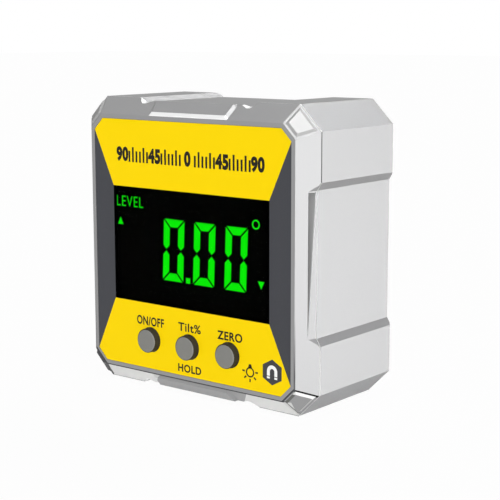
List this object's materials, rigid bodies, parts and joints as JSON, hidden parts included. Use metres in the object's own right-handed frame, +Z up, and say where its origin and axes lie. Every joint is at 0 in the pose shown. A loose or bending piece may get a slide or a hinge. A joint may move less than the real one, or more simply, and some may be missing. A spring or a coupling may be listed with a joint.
{
  "type": "digital angle gauge",
  "caption": "Square silver electronic angle gauge with a lit display in a yellow face, round push buttons, recessed sides, a magnetic base and a rear battery door.",
  "frame": {"origin": "middle of the gauge's overall box on its resting plane, under the base feet", "axes": "+Z up, the display faces -Y, +X to the right as seen from the front"},
  "size_m": [0.06, 0.0296, 0.06],
  "materials": {
    "silver_case": "satin silver paint",
    "grey_panel": "matte dark grey",
    "yellow_print": "matte yellow print",
    "clear_lens": "clear, tinted",
    "black_display": "black glass",
    "lit_segments": "lit green",
    "light_guide": "milky",
    "dark_rubber": "matte",
    "board_green": "solder mask",
    "chip_black": "matte black",
    "capacitor_tan": "matte tan",
    "plunger_white": "matte",
    "button_grey": "matte grey",
    "screw_steel": "zinc plated",
    "magnet_nickel": "nickel plated",
    "cell_wrap": "plain blue sleeve",
    "contact_steel": "nickel plated"
  },
  "bodies": {
    "case": {"front_frame": "silver_case", "rear_housing": "silver_case", "face_panel": "grey_panel", "face_print": "yellow_print", "display_lens": "clear_lens", "lcd_glass": "black_display", "lcd_segments": "lit_segments", "lcd_backlight": "light_guide", "lcd_connector": "dark_rubber", "circuit_board": "board_green", "processor_chip": "chip_black", "tilt_sensor": "chip_black", "chip_capacitors": "capacitor_tan", "switch_power": "chip_black", "switch_hold": "chip_black", "switch_zero": "chip_black", "case_seal": "dark_rubber", "case_screws": "screw_steel", "board_screws": "screw_steel", "base_magnet_left": "magnet_nickel", "base_magnet_right": "magnet_nickel", "battery_upper": "cell_wrap", "battery_lower": "cell_wrap", "contact_bridge": "contact_steel", "contact_positive": "contact_steel", "contact_negative": "contact_steel", "spring_upper": "contact_steel", "spring_lower": "contact_steel"},
    "power_key": {"button_power": "button_grey", "plunger_power": "plunger_white"},
    "hold_key": {"button_hold": "button_grey", "plunger_hold": "plunger_white"},
    "zero_key": {"button_zero": "button_grey", "plunger_zero": "plunger_white"},
    "door": {"battery_door": "silver_case", "door_seal": "dark_rubber"}
  },
  "joints": [
    {"name": "power_press", "type": "slide", "parent": "case", "child": "power_key", "axis": [0, 1, 0], "range_m": [0, 0.0005], "stiffness_N_per_m": 600, "springref_m": -0.002},
    {"name": "hold_press", "type": "slide", "parent": "case", "child": "hold_key", "axis": [0, 1, 0], "range_m": [0, 0.0005], "stiffness_N_per_m": 600, "springref_m": -0.002},
    {"name": "zero_press", "type": "slide", "parent": "case", "child": "zero_key", "axis": [0, 1, 0], "range_m": [0, 0.0005], "stiffness_N_per_m": 600, "springref_m": -0.002},
    {"name": "door_pull", "type": "slide", "parent": "case", "child": "door", "axis": [0, 1, 0], "range_m": [0, 0.02]}
  ]
}
